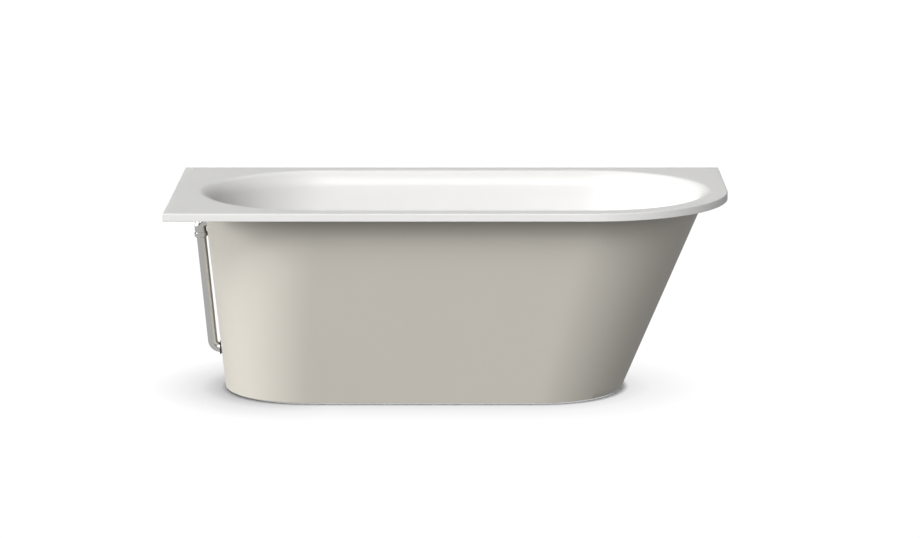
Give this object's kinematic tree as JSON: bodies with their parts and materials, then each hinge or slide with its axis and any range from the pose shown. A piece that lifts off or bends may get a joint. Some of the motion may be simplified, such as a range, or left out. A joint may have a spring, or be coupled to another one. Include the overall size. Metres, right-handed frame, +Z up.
{
  "type": "stone resin bathtub",
  "caption": "Back-to-wall corner bathtub with a stadium bowl, a thin square rim with one large round corner, a tapered outer shell and an outside overflow pipe.",
  "frame": {"origin": "on the floor, in the middle of the outline seen from above", "axes": "+X towards the sloping backrest end, +Y towards the back wall, +Z up"},
  "size_m": [1.6, 0.8, 0.58],
  "materials": {
    "white_stone": "matt cast stone resin, white",
    "grey_stone": "matt cast stone resin, warm light grey",
    "coated_steel": "powder coated, dark grey, satin",
    "zinc_steel": "zinc plated",
    "insert_brass": "turned",
    "cast_brass": "cast and turned, satin",
    "chrome": "polished chrome plate",
    "stainless": "satin stainless",
    "black_rubber": "matt",
    "black_nylon": "moulded, matt",
    "white_plastic": "moulded, semi gloss"
  },
  "bodies": {
    "bathtub": {"apron": "grey_stone", "basin": "white_stone", "cross_member_1": "coated_steel", "cross_member_2": "coated_steel", "cross_member_3": "coated_steel", "drain_body": "cast_brass", "drain_flange": "chrome", "drain_gasket_lower": "black_rubber", "drain_gasket_upper": "black_rubber", "foot_lock_nuts": "zinc_steel", "foot_sockets": "coated_steel", "frame_bolts": "zinc_steel", "frame_inserts": "insert_brass", "frame_pads": "black_rubber", "frame_washers": "zinc_steel", "outlet_elbow": "white_plastic", "outlet_nut": "white_plastic", "outlet_washer": "black_rubber", "overflow_bottom_nut": "chrome", "overflow_bottom_seal": "black_rubber", "overflow_cover": "chrome", "overflow_gasket_inner": "black_rubber", "overflow_gasket_outer": "black_rubber", "overflow_head": "chrome", "overflow_pipe": "chrome", "overflow_screw": "stainless", "overflow_top_nut": "chrome", "overflow_top_seal": "black_rubber", "pipe_grommet": "black_rubber", "plug_cartridge": "white_plastic", "plug_spring": "stainless", "rail_front": "coated_steel", "rail_rear": "coated_steel", "trap_bend": "white_plastic", "trap_union_nut": "white_plastic", "trap_washer": "black_rubber"},
    "foot_1": {"foot_spindle_1": "zinc_steel", "foot_pad_1": "black_nylon"},
    "foot_2": {"foot_spindle_2": "zinc_steel", "foot_pad_2": "black_nylon"},
    "foot_3": {"foot_spindle_3": "zinc_steel", "foot_pad_3": "black_nylon"},
    "foot_4": {"foot_spindle_4": "zinc_steel", "foot_pad_4": "black_nylon"},
    "foot_5": {"foot_spindle_5": "zinc_steel", "foot_pad_5": "black_nylon"},
    "foot_6": {"foot_spindle_6": "zinc_steel", "foot_pad_6": "black_nylon"},
    "plug": {"plug_cap": "chrome", "plug_seal": "black_rubber", "plug_stem": "stainless"}
  },
  "joints": [
    {"name": "foot_1_screw", "type": "slide", "parent": "bathtub", "child": "foot_1", "axis": [0, 0, -1], "range_m": [0, 0.02]},
    {"name": "foot_2_screw", "type": "slide", "parent": "bathtub", "child": "foot_2", "axis": [0, 0, -1], "range_m": [0, 0.02]},
    {"name": "foot_3_screw", "type": "slide", "parent": "bathtub", "child": "foot_3", "axis": [0, 0, -1], "range_m": [0, 0.02]},
    {"name": "foot_4_screw", "type": "slide", "parent": "bathtub", "child": "foot_4", "axis": [0, 0, -1], "range_m": [0, 0.02]},
    {"name": "foot_5_screw", "type": "slide", "parent": "bathtub", "child": "foot_5", "axis": [0, 0, -1], "range_m": [0, 0.02]},
    {"name": "foot_6_screw", "type": "slide", "parent": "bathtub", "child": "foot_6", "axis": [0, 0, -1], "range_m": [0, 0.02]},
    {"name": "plug_lift", "type": "slide", "parent": "bathtub", "child": "plug", "axis": [0, 0, 1], "range_m": [0, 0.008], "deforming": ["plug_spring"]}
  ]
}
